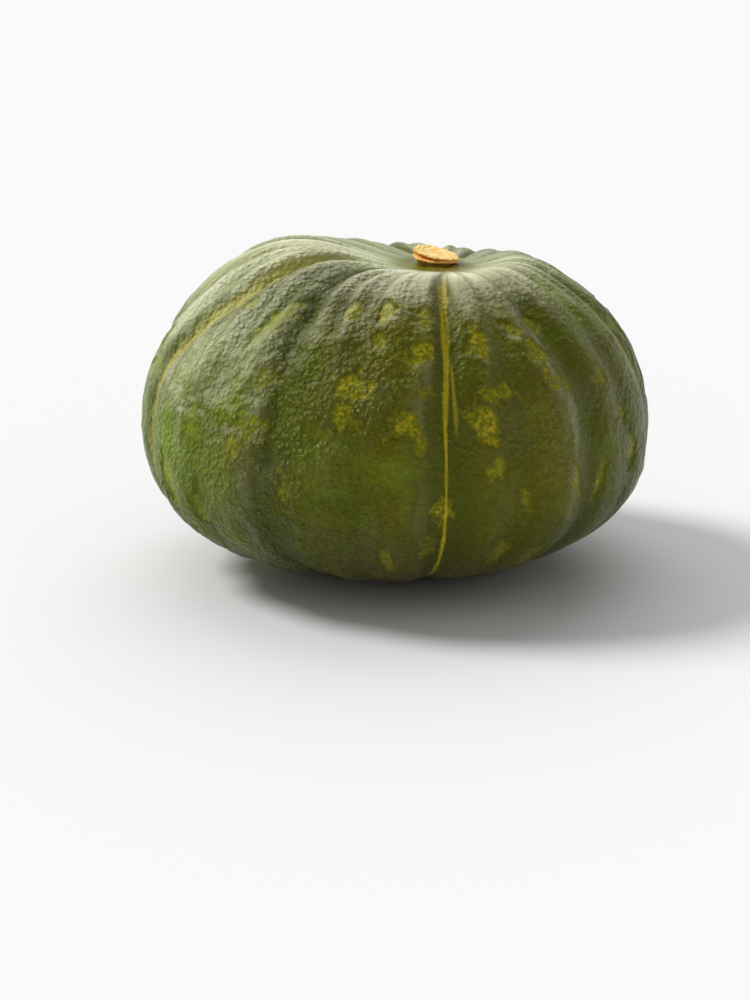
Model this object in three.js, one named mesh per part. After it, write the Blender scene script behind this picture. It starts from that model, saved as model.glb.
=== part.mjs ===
// A whole green kabocha pumpkin: a flattened ribbed fruit resting on a small flat spot, with a corky cut
// stem stub in the hollow on top. Millimetres, +Z up, front towards -Y, origin under the middle of the fruit.
import * as THREE from 'three';
import { mergeVertices } from 'three/addons/utils/BufferGeometryUtils.js';

// Overall form of the fruit, measured before its ribs sink in.
const WIDTH = 182;
const DEPTH = 176;
const CROWN_HEIGHT = 73.8;
const BELLY_HEIGHT = 50;
const CROWN_FULLNESS = 2.1;
const BELLY_FULLNESS = 2.3;

// Resting spot and the blossom scar inside it.
const FLAT_RADIUS = 25;
const SCAR_RADIUS = 8;
const SCAR_DEPTH = 2.2;

// Hollow round the stem, longer front to back than across, its place off the middle, and the uneven shoulder.
const HOLLOW_DEPTH = 14.5;
const HOLLOW_REACH_SIDE = 23.2;
const HOLLOW_REACH_FRONT = 32;
const STEM_OFFSET_X = 14.3;
const STEM_OFFSET_Y = -3.4;
const OFFSET_REACH = 45;
const SHOULDER_RISE_LEFT = 5;
const SHOULDER_RISE_FRONT = 3.5;

// Ribs: the valleys between them. Each runs from a bearing at the widest line to one on the crown, in degrees
// from the front towards +X, and has its share of the full depth.
const RIB_DEPTH = 3.2;
const VALLEY_HALF_WIDTH = 8;
const VALLEYS = [
  { low: -96, high: -80, share: 0.8 },
  { low: -74, high: -54, share: 1 },
  { low: -49, high: -41, share: 0.6 },
  { low: -28.5, high: -29, share: 1 },
  { low: -8, high: -11, share: 0.5 },
  { low: 11, high: 14.5, share: 1 },
  { low: 28, high: 31, share: 0.45 },
  { low: 48, high: 43, share: 0.9 },
  { low: 63, high: 62, share: 0.5 },
  { low: 81, high: 82, share: 0.8 },
  { low: 103, high: 106, share: 0.9 },
  { low: 125, high: 127, share: 0.5 },
  { low: 146, high: 145, share: 1 },
  { low: 168, high: 166, share: 0.5 },
  { low: 189, high: 190, share: 0.95 },
  { low: 210, high: 213, share: 0.5 },
  { low: 233, high: 237, share: 0.9 },
  { low: 250, high: 258, share: 0.5 },
];

// Stem stub: a corky disc with a narrower neck, its cut face sloping down to the right and the front.
const STEM_WIDTH = 17.5;
const STEM_OVALITY = 0.9;
const STEM_HEIGHT = 4.1;
const NECK_WIDTH = 13.5;
const CUT_SLOPE_RIGHT = 0.2;
const CUT_SLOPE_FRONT = 0.1;
const STEM_GAP = 0.3;
const SEAT_MARGIN = 0.8;

// Facets.
const FRUIT_SEGMENTS = 96;
const FRUIT_ROWS = 30;
const STEM_SEGMENTS = 40;

const radius = WIDTH / 2;
const seatRadius = STEM_WIDTH / 2 + SEAT_MARGIN;

function smooth(from, to, value) {
  const t = Math.min(Math.max((value - from) / (to - from), 0), 1);
  return t * t * (3 - 2 * t);
}

// Height of the plain outline above or below the widest line, at a distance r from the axis.
function outlineHeight(r, height, fullness) {
  return height * Math.pow(1 - Math.pow(r / radius, fullness), 1 / fullness);
}

// A point of the plain outline seen at an angle above the widest line.
function outlinePoint(angle) {
  const height = angle > 0 ? CROWN_HEIGHT : BELLY_HEIGHT;
  const fullness = angle > 0 ? CROWN_FULLNESS : BELLY_FULLNESS;
  const across = Math.pow(Math.cos(angle) / radius, fullness);
  const upward = Math.pow(Math.abs(Math.sin(angle)) / height, fullness);
  const reach = Math.pow(across + upward, -1 / fullness);
  return new THREE.Vector2(reach * Math.cos(angle), reach * Math.sin(angle));
}

// How deep the rib valleys are at a bearing and a height share, as a share of the full depth.
function valleyAt(bearing, up) {
  const climb = smooth(0.25, 0.9, up);
  let sum = 0;
  for (const valley of VALLEYS) {
    const line = valley.low + (valley.high - valley.low) * climb;
    const away = THREE.MathUtils.euclideanModulo(bearing - line + 180, 360) - 180;
    sum += valley.share * Math.exp(-Math.pow(Math.abs(away) / VALLEY_HALF_WIDTH, 1.5));
  }
  return sum;
}

// Turns a lathed profile into one closed body with its axis along Z, without the doubled seam and poles.
function closedLathe(profile, segments) {
  const lathe = new THREE.LatheGeometry(profile, segments);
  lathe.deleteAttribute('uv');
  lathe.deleteAttribute('normal');
  lathe.rotateX(Math.PI / 2);
  const welded = mergeVertices(lathe, 1e-4);
  const kept = [];
  const index = welded.getIndex();
  for (let i = 0; i < index.count; i += 3) {
    const [a, b, c] = [index.getX(i), index.getX(i + 1), index.getX(i + 2)];
    if (a !== b && b !== c && c !== a) {
      kept.push(a, b, c);
    }
  }
  welded.setIndex(kept);
  return welded;
}

function reshape(geometry, move) {
  const place = geometry.getAttribute('position');
  const point = new THREE.Vector3();
  for (let i = 0; i < place.count; i += 1) {
    point.fromBufferAttribute(place, i);
    move(point);
    place.setXYZ(i, point.x, point.y, point.z);
  }
  geometry.computeVertexNormals();
  return geometry;
}

const restHeight = -outlineHeight(FLAT_RADIUS, BELLY_HEIGHT, BELLY_FULLNESS);
const seatOutline = outlineHeight(seatRadius, CROWN_HEIGHT, CROWN_FULLNESS);
const seatHeight = seatOutline - HOLLOW_DEPTH;

function fruitProfile() {
  const profile = [
    new THREE.Vector2(0, restHeight + SCAR_DEPTH),
    new THREE.Vector2(SCAR_RADIUS * 0.5, restHeight + SCAR_DEPTH * 0.75),
    new THREE.Vector2(SCAR_RADIUS * 0.8, restHeight + SCAR_DEPTH * 0.25),
    new THREE.Vector2(SCAR_RADIUS, restHeight),
    new THREE.Vector2(FLAT_RADIUS, restHeight),
  ];
  const low = Math.atan2(restHeight, FLAT_RADIUS);
  const high = Math.atan2(seatOutline, seatRadius);
  for (let row = 1; row < FRUIT_ROWS; row += 1) {
    profile.push(outlinePoint(low + ((high - low) * row) / FRUIT_ROWS));
  }
  profile.push(new THREE.Vector2(seatRadius, seatOutline));
  profile.push(new THREE.Vector2(0, seatOutline));
  return profile;
}

// Sinks the ribs and the stem hollow, moves the crown towards the stem and raises the uneven shoulder.
function shapeFruit(point) {
  const across = Math.hypot(point.x, point.y);
  const bearing = Math.atan2(point.x, -point.y);
  if (point.z <= restHeight + SCAR_DEPTH && across <= FLAT_RADIUS + 1e-3) {
    point.y *= DEPTH / WIDTH;
    return;
  }
  const angle = Math.atan2(point.z, across);
  const fade = point.z > 0
    ? smooth(seatRadius, seatRadius + radius * 0.35, across)
    : smooth(FLAT_RADIUS, FLAT_RADIUS + radius * 0.4, across);
  const up = Math.min(Math.max(point.z / CROWN_HEIGHT, 0), 1);
  const sink = RIB_DEPTH * valleyAt(THREE.MathUtils.radToDeg(bearing), up) * fade;
  const reach = Math.hypot(across, point.z) - sink;
  const out = reach * Math.cos(angle);
  const share = Math.max(out - seatRadius, 0) / radius;
  const shoulder = 2.6 * up * up * share * (1 - share * share);
  const drift = up * up * Math.exp(-Math.pow(out / OFFSET_REACH, 2));
  point.x = out * Math.sin(bearing) + STEM_OFFSET_X * drift;
  point.y = (-out * Math.cos(bearing) * DEPTH) / WIDTH + STEM_OFFSET_Y * drift;
  point.z = reach * Math.sin(angle);
  if (up > 0) {
    const lengthways = Math.pow(Math.cos(bearing), 2);
    const hollowReach = HOLLOW_REACH_SIDE + (HOLLOW_REACH_FRONT - HOLLOW_REACH_SIDE) * lengthways;
    point.z -= HOLLOW_DEPTH * Math.exp(-Math.pow(Math.max(out - seatRadius, 0) / hollowReach, 2));
    point.z -= SHOULDER_RISE_LEFT * shoulder * Math.sin(bearing);
    point.z += SHOULDER_RISE_FRONT * shoulder * Math.cos(bearing);
  }
}

const fruitGeometry = reshape(closedLathe(fruitProfile(), FRUIT_SEGMENTS), shapeFruit);
fruitGeometry.computeBoundingBox();
const origin = fruitGeometry.boundingBox.getCenter(new THREE.Vector3());
origin.z = fruitGeometry.boundingBox.min.z;
fruitGeometry.translate(-origin.x, -origin.y, -origin.z);

// The stem stands on the middle of the flat seat at the bottom of the hollow.
const seatDrift = Math.pow(seatOutline / CROWN_HEIGHT, 2) * Math.exp(-Math.pow(seatRadius / OFFSET_REACH, 2));
const stemPlace = new THREE.Vector3(STEM_OFFSET_X * seatDrift, STEM_OFFSET_Y * seatDrift, seatHeight + STEM_GAP);
stemPlace.sub(origin);

function stemProfile() {
  const rim = STEM_WIDTH / 2;
  const neck = NECK_WIDTH / 2;
  return [
    new THREE.Vector2(0, 0),
    new THREE.Vector2(neck + 0.5, 0),
    new THREE.Vector2(neck, STEM_HEIGHT * 0.2),
    new THREE.Vector2(neck + 0.3, STEM_HEIGHT * 0.4),
    new THREE.Vector2(rim - 0.6, STEM_HEIGHT * 0.58),
    new THREE.Vector2(rim, STEM_HEIGHT * 0.74),
    new THREE.Vector2(rim - 0.2, STEM_HEIGHT * 0.92),
    new THREE.Vector2(rim - 1, STEM_HEIGHT),
    new THREE.Vector2(rim * 0.55, STEM_HEIGHT * 0.96),
    new THREE.Vector2(0, STEM_HEIGHT * 0.9),
  ];
}

// Makes the disc oval and uneven, and slopes its cut face.
function shapeStem(point) {
  const bearing = Math.atan2(point.x, -point.y);
  const uneven = 1 - 0.03 * (1 + Math.sin(3 * bearing + 0.6)) - 0.02 * (1 + Math.sin(5 * bearing + 2));
  const slope = 1 - (CUT_SLOPE_RIGHT * point.x - CUT_SLOPE_FRONT * point.y) / STEM_HEIGHT;
  point.x *= uneven;
  point.y *= uneven * STEM_OVALITY;
  point.z *= slope;
}

const stemGeometry = reshape(closedLathe(stemProfile(), STEM_SEGMENTS), shapeStem);

const rind = new THREE.MeshStandardMaterial({ color: 0x5c6935, roughness: 0.5, metalness: 0 });
const cork = new THREE.MeshStandardMaterial({ color: 0xdcae68, roughness: 0.85, metalness: 0 });

const fruit = new THREE.Mesh(fruitGeometry, rind);
fruit.name = 'fruit';

const stem = new THREE.Mesh(stemGeometry, cork);
stem.name = 'stem';
stem.position.copy(stemPlace);

const pumpkin = new THREE.Group();
pumpkin.name = 'pumpkin';
pumpkin.add(fruit, stem);

export default pumpkin;
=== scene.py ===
"""A whole green pumpkin with a corky cut stem stub, laid out as a Blender add-on."""

import math

import bmesh
import bpy
import numpy as np
from bpy.props import FloatProperty, FloatVectorProperty, IntProperty, PointerProperty
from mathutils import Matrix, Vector, noise


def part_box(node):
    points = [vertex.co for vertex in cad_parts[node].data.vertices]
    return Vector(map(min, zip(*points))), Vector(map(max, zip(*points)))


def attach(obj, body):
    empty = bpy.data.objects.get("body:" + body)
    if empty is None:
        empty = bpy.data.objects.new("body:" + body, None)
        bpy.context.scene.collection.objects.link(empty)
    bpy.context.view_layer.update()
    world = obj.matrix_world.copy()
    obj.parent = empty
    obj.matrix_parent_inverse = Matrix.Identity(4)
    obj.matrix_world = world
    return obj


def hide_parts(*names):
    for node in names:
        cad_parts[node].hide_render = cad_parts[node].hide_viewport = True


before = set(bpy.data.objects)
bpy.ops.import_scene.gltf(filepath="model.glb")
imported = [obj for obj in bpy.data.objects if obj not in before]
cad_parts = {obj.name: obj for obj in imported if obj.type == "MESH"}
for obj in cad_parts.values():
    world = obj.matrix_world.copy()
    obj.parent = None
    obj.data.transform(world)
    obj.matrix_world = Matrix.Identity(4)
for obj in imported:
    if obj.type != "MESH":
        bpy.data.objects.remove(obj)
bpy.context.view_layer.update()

FRUIT_BOX = [np.array(corner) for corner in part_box("fruit")]
STEM_BOX = [np.array(corner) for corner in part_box("stem")]
MM = 0.001
RADIANS_PER_DEGREE = 0.01745

# How full the outline is above and below the widest line: 2 is an ellipse, more is squarer.
CROWN_FULLNESS = 2.1
BELLY_FULLNESS = 2.3

# The stem stands to the right and the front of the middle. The pull fades over this distance from it.
STEM_OFFSET = (14.3 * MM, -3.4 * MM)
OFFSET_REACH = 45 * MM

# How much higher the shoulder is on the left and at the front.
SHOULDER_RISE_LEFT = 5.0 * MM
SHOULDER_RISE_FRONT = 3.5 * MM

# The stub: how oval it is, the height of its cut, and how steeply the cut falls to the right and the front.
STEM_OVALITY = 0.92
STEM_HEIGHT = 4.1 * MM
CUT_SLOPE_RIGHT = 0.2
CUT_SLOPE_FRONT = 0.1

# The side of the fruit that is painted as lit, as a bearing in degrees. The rind turning away from it is painted in
# shade, and its bloom and painted highlight thin away from it.
PAINTED_LIT_SIDE = -15

# The patch that lay on the soil: bearing and angle above the widest line in degrees, then its reach across and
# up in mm.
GROUND_PATCH_PLACE = (152, -33)
GROUND_PATCH_REACH = (34, 20)

# The pimple on the front line, and the scrape beside a rib on the left: bearing and angle above the widest line.
PIMPLE_PLACE = (14.0, 33.5)
SCRAPE_PLACE = (-40.2, 35.0)

# Fixed seed of the scattered blotches, and how far every blotch spreads past its stated size.
BLOTCH_SEED = 12
BLOTCH_SPREAD = 1.18

# Darkest tint of the painted shade on the far side.
PAINTED_SHADE_GREEN = (0.012, 0.018, 0.004)

# The camera's lens in mm, the height it is centred on as a share of the fruit, and how far it aims to the left of
# that point and below it.
LENS = 101.1
CENTRE_SHARE = 0.418
AIM_LEFT = 7.5 * MM
AIM_LOW = 26.3 * MM

bl_info = {
    "name": "Whole green pumpkin",
    "version": (1, 0, 0),
    "blender": (4, 5, 0),
    "location": "3D View > Sidebar > Pumpkin",
    "description": "Makes a ribbed green pumpkin with a leathery, blotched rind and a corky cut stem",
    "category": "Add Mesh",
}

# The valleys between the ribs: bearing at the widest line and on the crown, in degrees from the front
# towards +X, then the share of the full depth.
VALLEYS = (
    (-96, -80, 0.8),
    (-74, -54, 1.0),
    (-49, -41, 0.6),
    (-28.5, -29, 1.0),
    (-8, -11, 0.5),
    (11, 14.5, 1.0),
    (28, 31, 0.45),
    (48, 43, 0.9),
    (63, 62, 0.5),
    (81, 82, 0.8),
    (103, 106, 0.9),
    (125, 127, 0.5),
    (146, 145, 1.0),
    (168, 166, 0.5),
    (189, 190, 0.95),
    (210, 213, 0.5),
    (233, 237, 0.9),
    (250, 258, 0.5),
)

# Pale lines that follow some valleys: bearing low and high, half width low and high in mm, strength, how
# creamy and how broken up they are.
STRIPES = (
    (11, 14.5, 0.65, 1.5, 1.0, 0.0, 0.0),
    (-74, -54, 3.2, 3.4, 0.8, 0.5, 0.3),
    (-96, -80, 1.5, 2.4, 0.4, 0.5, 0.5),
    (81, 82, 1.6, 2.2, 0.5, 0.15, 0.9),
    (103, 106, 1.2, 1.6, 0.45, 0.1, 1.0),
    (146, 145, 2.8, 3.2, 0.6, 0.1, 0.4),
    (150.5, 150, 0.5, 0.5, 0.5, 0.3, 0.3),
    (189, 190, 1.5, 2.0, 0.5, 0.1, 1.0),
    (233, 237, 1.8, 2.6, 0.55, 0.15, 0.8),
)

# A short thin line beside the front one, as above without the last two. It shows only part of the way up.
SIDE_STRIPE = (13.4, 14.2, 0.55, 0.45, 0.55)

# Short folds over the shoulder, between the stem and the ribs: bearing in degrees, then strength.
FOLDS = (
    (-78, 0.5), (-67, 0.9), (-54, 1.0), (-46, 0.5), (-39, 0.9), (-28, 1.0), (-18, 0.9), (-8, 0.5), (2, 0.4),
    (15, 0.8), (28, 0.9), (40, 0.7), (54, 1.0), (63, 0.5), (72, 0.9), (82, 0.8), (95, 0.5), (106, 1.0),
    (116, 0.4), (127, 0.8), (136, 0.5), (145, 1.0), (157, 0.5), (166, 0.8), (179, 0.5), (190, 1.0),
    (203, 0.4), (213, 0.9), (224, 0.5), (237, 1.0), (247, 0.4), (258, 0.9), (271, 0.6),
)

# Sunken olive blotches of the front: bearing, angle above the widest line, width and height in mm, lean in degrees,
# strength.
BLOTCHES = (
    (-4, 41, 5, 9, 0, 1.0),
    (-5, 33, 4, 6, 0, 0.8),
    (-14, 40, 6, 8, 15, 0.6),
    (-11, 22, 11, 8, 25, 0.9),
    (-12, 16, 7, 8, 0, 0.9),
    (-16, 12, 6, 6, 0, 0.5),
    (7, 40, 6, 8, -20, 0.5),
    (6, 31, 7, 12, -40, 0.9),
    (6, 21, 6, 5, 0, 0.5),
    (2, 15, 9, 11, -30, 0.9),
    (5, 10, 6, 6, 0, 0.6),
    (22, 32, 7, 10, 0, 0.8),
    (24, 20, 11, 7, 0, 0.7),
    (20, 14, 9, 14, 20, 0.9),
    (22, 4, 7, 8, 0, 0.6),
    (34, 35, 5, 8, 25, 0.6),
    (43, 37, 8, 6, -30, 0.6),
    (39, 28, 9, 10, 30, 0.8),
    (42, 21, 10, 6, 0, 0.7),
    (56, 19, 7, 7, 0, 0.6),
    (62, 10, 6, 6, 0, 0.5),
    (-50, 38, 4, 5, 0, 0.7),
    (-38, 35, 8, 19, -35, 0.6),
    (-33, 22, 8, 12, -20, 0.6),
    (-34, 12, 12, 10, -30, 0.6),
    (-38, 7, 8, 9, 0, 0.5),
    (-52, 10, 9, 12, 0, 0.5),
    (-60, 22, 5, 7, 0, 0.5),
)


class PumpkinFruitSettings(bpy.types.PropertyGroup):
    """Sizes and colours of the fruit."""

    grid_cuts: IntProperty(
        name="Grid cuts", description="Cuts along each edge of the starting cube", default=127, min=15, max=127
    )
    crown_height: FloatProperty(
        name="Crown height", description="From the widest line to the crown before the hollow sinks in",
        default=73.8 * MM, unit="LENGTH",
    )
    belly_height: FloatProperty(
        name="Belly height", description="From the widest line down to the lowest point before it flattens",
        default=50 * MM, unit="LENGTH",
    )
    width: FloatProperty(
        name="Width", description="Across X before the ribs sink in", default=182 * MM, unit="LENGTH"
    )
    depth: FloatProperty(
        name="Depth", description="Front to back before the ribs sink in", default=176 * MM, unit="LENGTH"
    )
    flat_radius: FloatProperty(
        name="Resting spot radius", description="Radius of the flat spot it rests on", default=25 * MM, unit="LENGTH"
    )
    hollow_depth: FloatProperty(
        name="Hollow depth", description="How far the crown sinks towards the stem", default=14.5 * MM, unit="LENGTH"
    )
    seat_radius: FloatProperty(
        name="Seat radius", description="Radius of the spot the stem grows from", default=9.55 * MM, unit="LENGTH"
    )
    hollow_side: FloatProperty(
        name="Hollow reach, sides", description="How far the hollow reaches to the left and right of the seat",
        default=23.2 * MM, unit="LENGTH",
    )
    hollow_front: FloatProperty(
        name="Hollow reach, front", description="How far the hollow reaches to the front and back of the seat",
        default=32 * MM, unit="LENGTH",
    )
    rib_depth: FloatProperty(
        name="Rib depth", description="Depth of the broad valleys between the ribs", default=3.4 * MM, unit="LENGTH"
    )
    crease_depth: FloatProperty(
        name="Crease depth", description="Extra depth along the middle of each valley",
        default=1.1 * MM, unit="LENGTH",
    )
    pleat_depth: FloatProperty(
        name="Pleat depth", description="Depth of the short folds on the shoulder", default=1.5 * MM, unit="LENGTH"
    )
    lump_height: FloatProperty(
        name="Lump height", description="Height of the uneven lumps of the rind", default=0.8 * MM, unit="LENGTH"
    )
    blotch_depth: FloatProperty(
        name="Blotch depth", description="How far the olive blotches are sunken", default=0.75 * MM, unit="LENGTH"
    )
    deep_green: FloatVectorProperty(
        name="Deep green", description="Darkest colour of the rind", subtype="COLOR", size=3,
        default=(0.075, 0.110, 0.005), min=0, max=1,
    )
    leaf_green: FloatVectorProperty(
        name="Leaf green", description="Lighter green of the rind", subtype="COLOR", size=3,
        default=(0.22, 0.32, 0.006), min=0, max=1,
    )
    olive: FloatVectorProperty(
        name="Olive", description="Brownish olive areas of the rind", subtype="COLOR", size=3,
        default=(0.168, 0.132, 0.003), min=0, max=1,
    )
    blotch_yellow: FloatVectorProperty(
        name="Blotch yellow", description="Colour inside the sunken blotches", subtype="COLOR", size=3,
        default=(0.275, 0.245, 0.004), min=0, max=1,
    )
    stripe_olive: FloatVectorProperty(
        name="Stripe olive", description="Colour of the thin lines in the valleys", subtype="COLOR", size=3,
        default=(0.46, 0.36, 0.012), min=0, max=1,
    )
    stripe_cream: FloatVectorProperty(
        name="Stripe cream", description="Colour of the palest lines", subtype="COLOR", size=3,
        default=(0.60, 0.60, 0.24), min=0, max=1,
    )
    corky_tan: FloatVectorProperty(
        name="Corky tan", description="Colour of the netting and the scar at the blossom end",
        subtype="COLOR", size=3, default=(0.30, 0.20, 0.09), min=0, max=1,
    )
    ground_yellow: FloatVectorProperty(
        name="Ground yellow", description="Colour of the patch that lay on the soil", subtype="COLOR", size=3,
        default=(0.40, 0.25, 0.02), min=0, max=1,
    )
    # Pale colour of the waxy bloom, also used as a painted highlight on what faces up, on the crests and on the
    # pebble tops.
    bloom_and_highlight_grey: FloatVectorProperty(
        name="Bloom and highlight grey", description="Colour of the waxy bloom", subtype="COLOR", size=3,
        default=(0.68, 0.68, 0.48), min=0, max=1,
    )


class PumpkinStemSettings(bpy.types.PropertyGroup):
    """Sizes and colours of the stem stub."""

    turns: IntProperty(name="Turns", description="Steps round the stem", default=168, min=24, max=256)
    crack_depth: FloatProperty(
        name="Crack depth", description="Depth of the split along the front left rim", default=1.7 * MM, unit="LENGTH"
    )
    cut_cream: FloatVectorProperty(
        name="Cut cream", description="Colour of the dry cut face", subtype="COLOR", size=3,
        default=(1.0, 0.75, 0.29), min=0, max=1,
    )
    cork_orange: FloatVectorProperty(
        name="Cork orange", description="Colour inside the splits", subtype="COLOR", size=3,
        default=(0.85, 0.32, 0.01), min=0, max=1,
    )
    # Brown of the pores and rings on the cut, also painted as shade on the neck under the rim.
    ring_pore_and_neck_shade_brown: FloatVectorProperty(
        name="Ring, pore and neck shade brown", description="Colour of the shaded neck", subtype="COLOR", size=3,
        default=(0.24, 0.14, 0.02), min=0, max=1,
    )


class PumpkinStageSettings(bpy.types.PropertyGroup):
    """Floor, light and camera."""

    floor_grey: FloatVectorProperty(
        name="Floor colour", description="Colour of the plain pale floor", subtype="COLOR", size=3,
        default=(0.71, 0.71, 0.71), min=0, max=1,
    )
    sky_strength: FloatProperty(
        name="Fill strength", description="Strength of the even light all round", default=0.42
    )
    key_strength: FloatProperty(name="Key strength", description="Strength of the soft main light", default=2.65)
    camera_distance: FloatProperty(
        name="Camera distance", description="From the middle of the fruit to the camera", default=1.0, unit="LENGTH"
    )
    camera_height: FloatProperty(
        name="Camera height", description="How far the camera looks down", default=math.radians(15), unit="ROTATION"
    )


def smooth(low, high, value):
    """A soft step from 0 at the low limit to 1 at the high one."""
    share = np.clip((value - low) / (high - low), 0.0, 1.0)
    return share * share * (3.0 - 2.0 * share)


def turn_between(angle, line):
    """Shortest turn from a line to an angle, in degrees."""
    return (angle - line + 180.0) % 360.0 - 180.0


def clouds(points, size, octaves=3, seed=0.0):
    """Soft random values from about -1 to 1 that change over the given size in metres."""
    shifted = points / size + np.array((seed, seed * 0.7, -seed * 1.3))
    return np.array([noise.fractal(Vector(p), 0.9, 2.0, octaves) for p in shifted.tolist()])


def new_object(name, mesh):
    """Puts a mesh into the scene as an object at the origin."""
    piece = bpy.data.objects.new(name, mesh)
    bpy.context.scene.collection.objects.link(piece)
    return piece


def store(mesh, name, values):
    """Keeps one value for each point of a mesh."""
    layer = mesh.attributes.new(name, "FLOAT", "POINT")
    layer.data.foreach_set("value", np.ascontiguousarray(values, dtype=np.float32))


def store_vectors(mesh, name, values):
    """Keeps one vector for each point of a mesh."""
    layer = mesh.attributes.new(name, "FLOAT_VECTOR", "POINT")
    layer.data.foreach_set("vector", np.ascontiguousarray(values, dtype=np.float32).ravel())


class FruitForm:
    """The shape of the fruit over a ball of directions, in metres, with its valleys, crests and folds."""

    def __init__(self, settings, directions):
        self.s = settings
        self.bearing = np.arctan2(directions[:, 0], -directions[:, 1])
        self.degrees = np.degrees(self.bearing)
        self.angle = np.arcsin(np.clip(directions[:, 2], -1.0, 1.0))
        self.latitude = np.degrees(self.angle)
        self.radius = settings.width / 2
        self.seat = settings.seat_radius
        crown = self.angle > 0
        height = np.where(crown, settings.crown_height, settings.belly_height)
        fullness = np.where(crown, CROWN_FULLNESS, BELLY_FULLNESS)
        across = (np.cos(self.angle) / self.radius) ** fullness
        upward = (np.abs(np.sin(self.angle)) / height) ** fullness
        self.reach = (across + upward) ** (-1 / fullness)
        self.across = self.reach * np.cos(self.angle)
        self.up = np.clip(self.reach * np.sin(self.angle) / settings.crown_height, -1.0, 1.0)
        self.climb = smooth(0.25, 0.9, self.up)
        inner = 1 - (settings.flat_radius / self.radius) ** BELLY_FULLNESS
        self.rest = -settings.belly_height * inner ** (1 / BELLY_FULLNESS)

    def valleys(self, half_width, power, wander=0.0):
        """How deep the valleys are, 0 to about 1."""
        total = np.zeros_like(self.angle)
        for low, high, share in VALLEYS:
            line = low + (high - low) * self.climb
            away = np.abs(turn_between(self.degrees + wander, line))
            total += share * np.exp(-((away / half_width) ** power))
        return total

    def crests(self, wander=0.0):
        """Narrow raised crests along the left of the valleys."""
        total = np.zeros_like(self.angle)
        for low, high, share in VALLEYS:
            line = low + (high - low) * self.climb
            away = turn_between(self.degrees + wander, line)
            total += share * np.exp(-(((away + 6.0) / 2.6) ** 2))
        return total

    def folds(self, wander=0.0):
        """The short folds of the shoulder, 0 to about 1, each with a rounded crest on its left."""
        total = np.zeros_like(self.angle)
        for number, (line, share) in enumerate(FOLDS):
            half_width = 2.1 + 0.7 * (number % 3)
            away = turn_between(self.degrees + wander, line)
            crest = np.exp(-(((away + 5) / 2.8) ** 2))
            total += share * (np.exp(-((np.abs(away) / half_width) ** 1.6)) - 0.4 * crest)
        return total

    def plain(self, sink):
        """Places every point, with the given sinking of the rind towards the middle."""
        s = self.s
        reach = self.reach - sink
        out = reach * np.cos(self.angle)
        high = np.clip(self.up, 0.0, 1.0)
        share = np.maximum(out - self.seat, 0) / self.radius
        shoulder = 2.6 * high * high * share * (1 - share * share)
        drift = high * high * np.exp(-((out / OFFSET_REACH) ** 2))
        x = out * np.sin(self.bearing) + STEM_OFFSET[0] * drift
        y = -out * np.cos(self.bearing) * s.depth / s.width + STEM_OFFSET[1] * drift
        z = reach * np.sin(self.angle)
        reaches = s.hollow_side + (s.hollow_front - s.hollow_side) * np.cos(self.bearing) ** 2
        hollow = s.hollow_depth * np.exp(-((np.maximum(out - self.seat, 0) / reaches) ** 2))
        z -= np.where(high > 0, hollow, 0)
        z += shoulder * (SHOULDER_RISE_FRONT * np.cos(self.bearing) - SHOULDER_RISE_LEFT * np.sin(self.bearing))
        low = self.rest + 0.0001
        flat = z < low
        squash = np.where(flat, low / np.minimum(z, -1e-6), 1.0)
        x *= squash
        y *= squash
        z = np.where(flat, low, z)
        return np.stack((x, y, z), axis=1)

    def distance_from(self, bearing, latitude):
        """How far to the side of a place and above it each point lies on the rind, in mm."""
        side = np.radians(turn_between(self.degrees, bearing)) * self.across / MM
        return side, np.radians(self.latitude - latitude) * self.reach / MM

    def outward(self):
        """The direction of each point as seen from the middle of the fruit."""
        flat = np.cos(self.angle)
        return np.stack((np.sin(self.bearing) * flat, -np.cos(self.bearing) * flat, np.sin(self.angle)), axis=1)

    def fades(self):
        """How far ribs and lumps reach towards the stem and the resting spot."""
        top = smooth(self.seat * 1.5, self.seat + self.radius * 0.48, self.across)
        base = smooth(self.s.flat_radius * 0.9, self.s.flat_radius + self.radius * 0.35, self.across)
        return np.where(self.angle > 0, top, base)


def scattered_blotches():
    """Random blotches for what the table leaves out: along the ribs of the sides and back, and low in front."""
    maker = np.random.default_rng(BLOTCH_SEED)
    marks = []
    for low, _, _ in VALLEYS:
        if -80 < low < 70:
            continue
        for latitude in np.arange(-38, 46, 9.0):
            if maker.random() < 0.72:
                bearing = low + maker.uniform(5, 17)
                place = latitude + maker.uniform(-3, 3)
                width, height = maker.uniform(4, 10), maker.uniform(5, 13) * (1.5 if latitude < 0 else 1.0)
                marks.append((bearing, place, width, height, maker.uniform(-35, 35), maker.uniform(0.45, 1.0)))
    for line in np.arange(-70, 70, 11.0):
        for latitude in (-3, -14, -25, -36):
            if maker.random() < 0.6:
                bearing = line + maker.uniform(-4, 4)
                place = latitude + maker.uniform(-4, 4)
                width, height = maker.uniform(4, 8), maker.uniform(8, 18)
                marks.append((bearing, place, width, height, maker.uniform(-20, 20), maker.uniform(0.4, 0.9)))
    return marks


def blotch_masks(form, ragged):
    """Marks the sunken blotches, 0 outside and 1 inside. The second mask is the steeper one of their dents."""
    mask = np.zeros_like(form.angle)
    dent = np.zeros_like(form.angle)
    for bearing, latitude, width, height, lean, strength in (*BLOTCHES, *scattered_blotches()):
        side, rise = form.distance_from(bearing, latitude)
        turn = math.radians(lean)
        along = side * math.cos(turn) + rise * math.sin(turn)
        over = -side * math.sin(turn) + rise * math.cos(turn)
        away = np.sqrt((along / (width * 0.5)) ** 2 + (over / (height * 0.5)) ** 2) / BLOTCH_SPREAD
        near = away < 2.2
        if near.any():
            edge = away[near] * (1 + 0.6 * ragged[near])
            mask[near] = np.maximum(mask[near], strength * (1 - smooth(0.25, 1.45, edge)))
            dent[near] = np.maximum(dent[near], strength * (1 - smooth(0.72, 1.12, edge)))
    return mask, dent


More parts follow.
